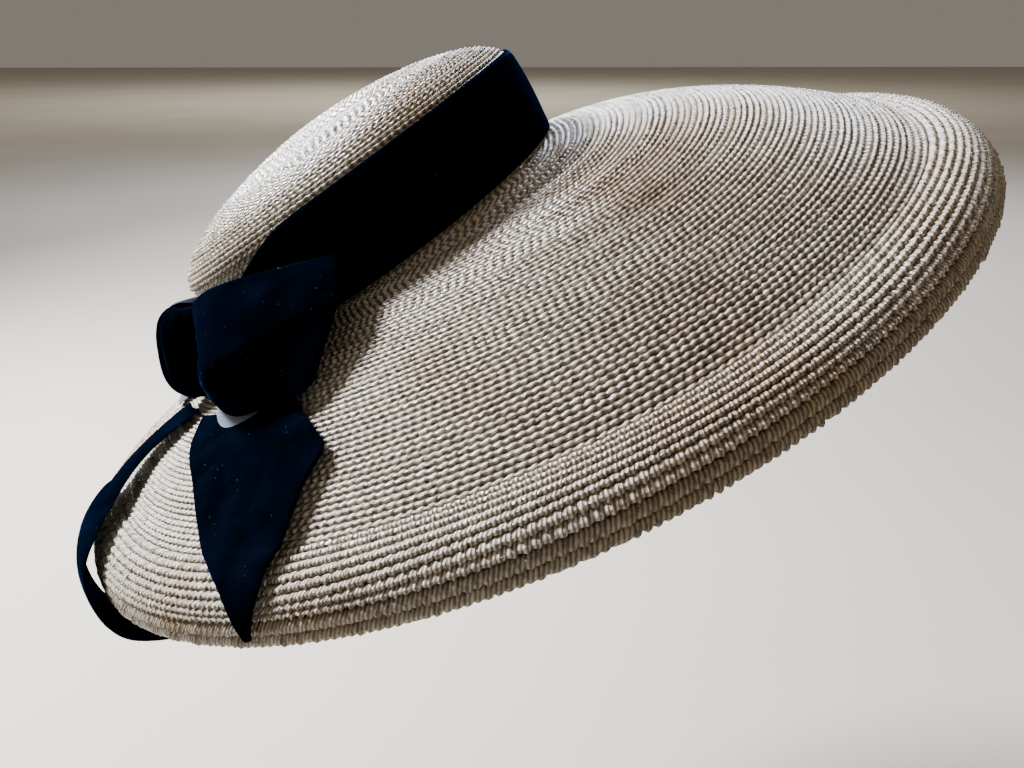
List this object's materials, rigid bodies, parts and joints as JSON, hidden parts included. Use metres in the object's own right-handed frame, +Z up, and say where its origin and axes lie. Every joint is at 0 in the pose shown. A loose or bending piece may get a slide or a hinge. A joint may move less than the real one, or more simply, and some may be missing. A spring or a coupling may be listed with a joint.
{
  "type": "wide-brimmed straw picture hat",
  "caption": "Wide-brimmed sewn straw picture hat with a low crown, dark velvet ribbon band and a bow with tails at the back, shown as worn.",
  "frame": {"origin": "middle of the head opening, where the crown meets the brim and a head carries the hat", "axes": "+Z up as worn, +X towards the front of the hat, +Y towards the wearer's left; the hat is tipped back about Y"},
  "size_m": [0.3907, 0.4246, 0.2138],
  "materials": {
    "straw_braid": "fine sewn straw braid, semi-gloss",
    "edge_plait": "coarser plaited straw, semi-gloss",
    "velvet": "blue-black velvet pile"
  },
  "bodies": {
    "root": {"crown": "straw_braid", "brim": "straw_braid", "edge_braid": "edge_plait", "ribbon_band": "velvet", "bow_loop_near": "velvet", "bow_loop_far": "velvet", "bow_knot": "velvet", "bow_tail_near": "velvet", "bow_tail_back": "velvet"}
  },
  "joints": []
}
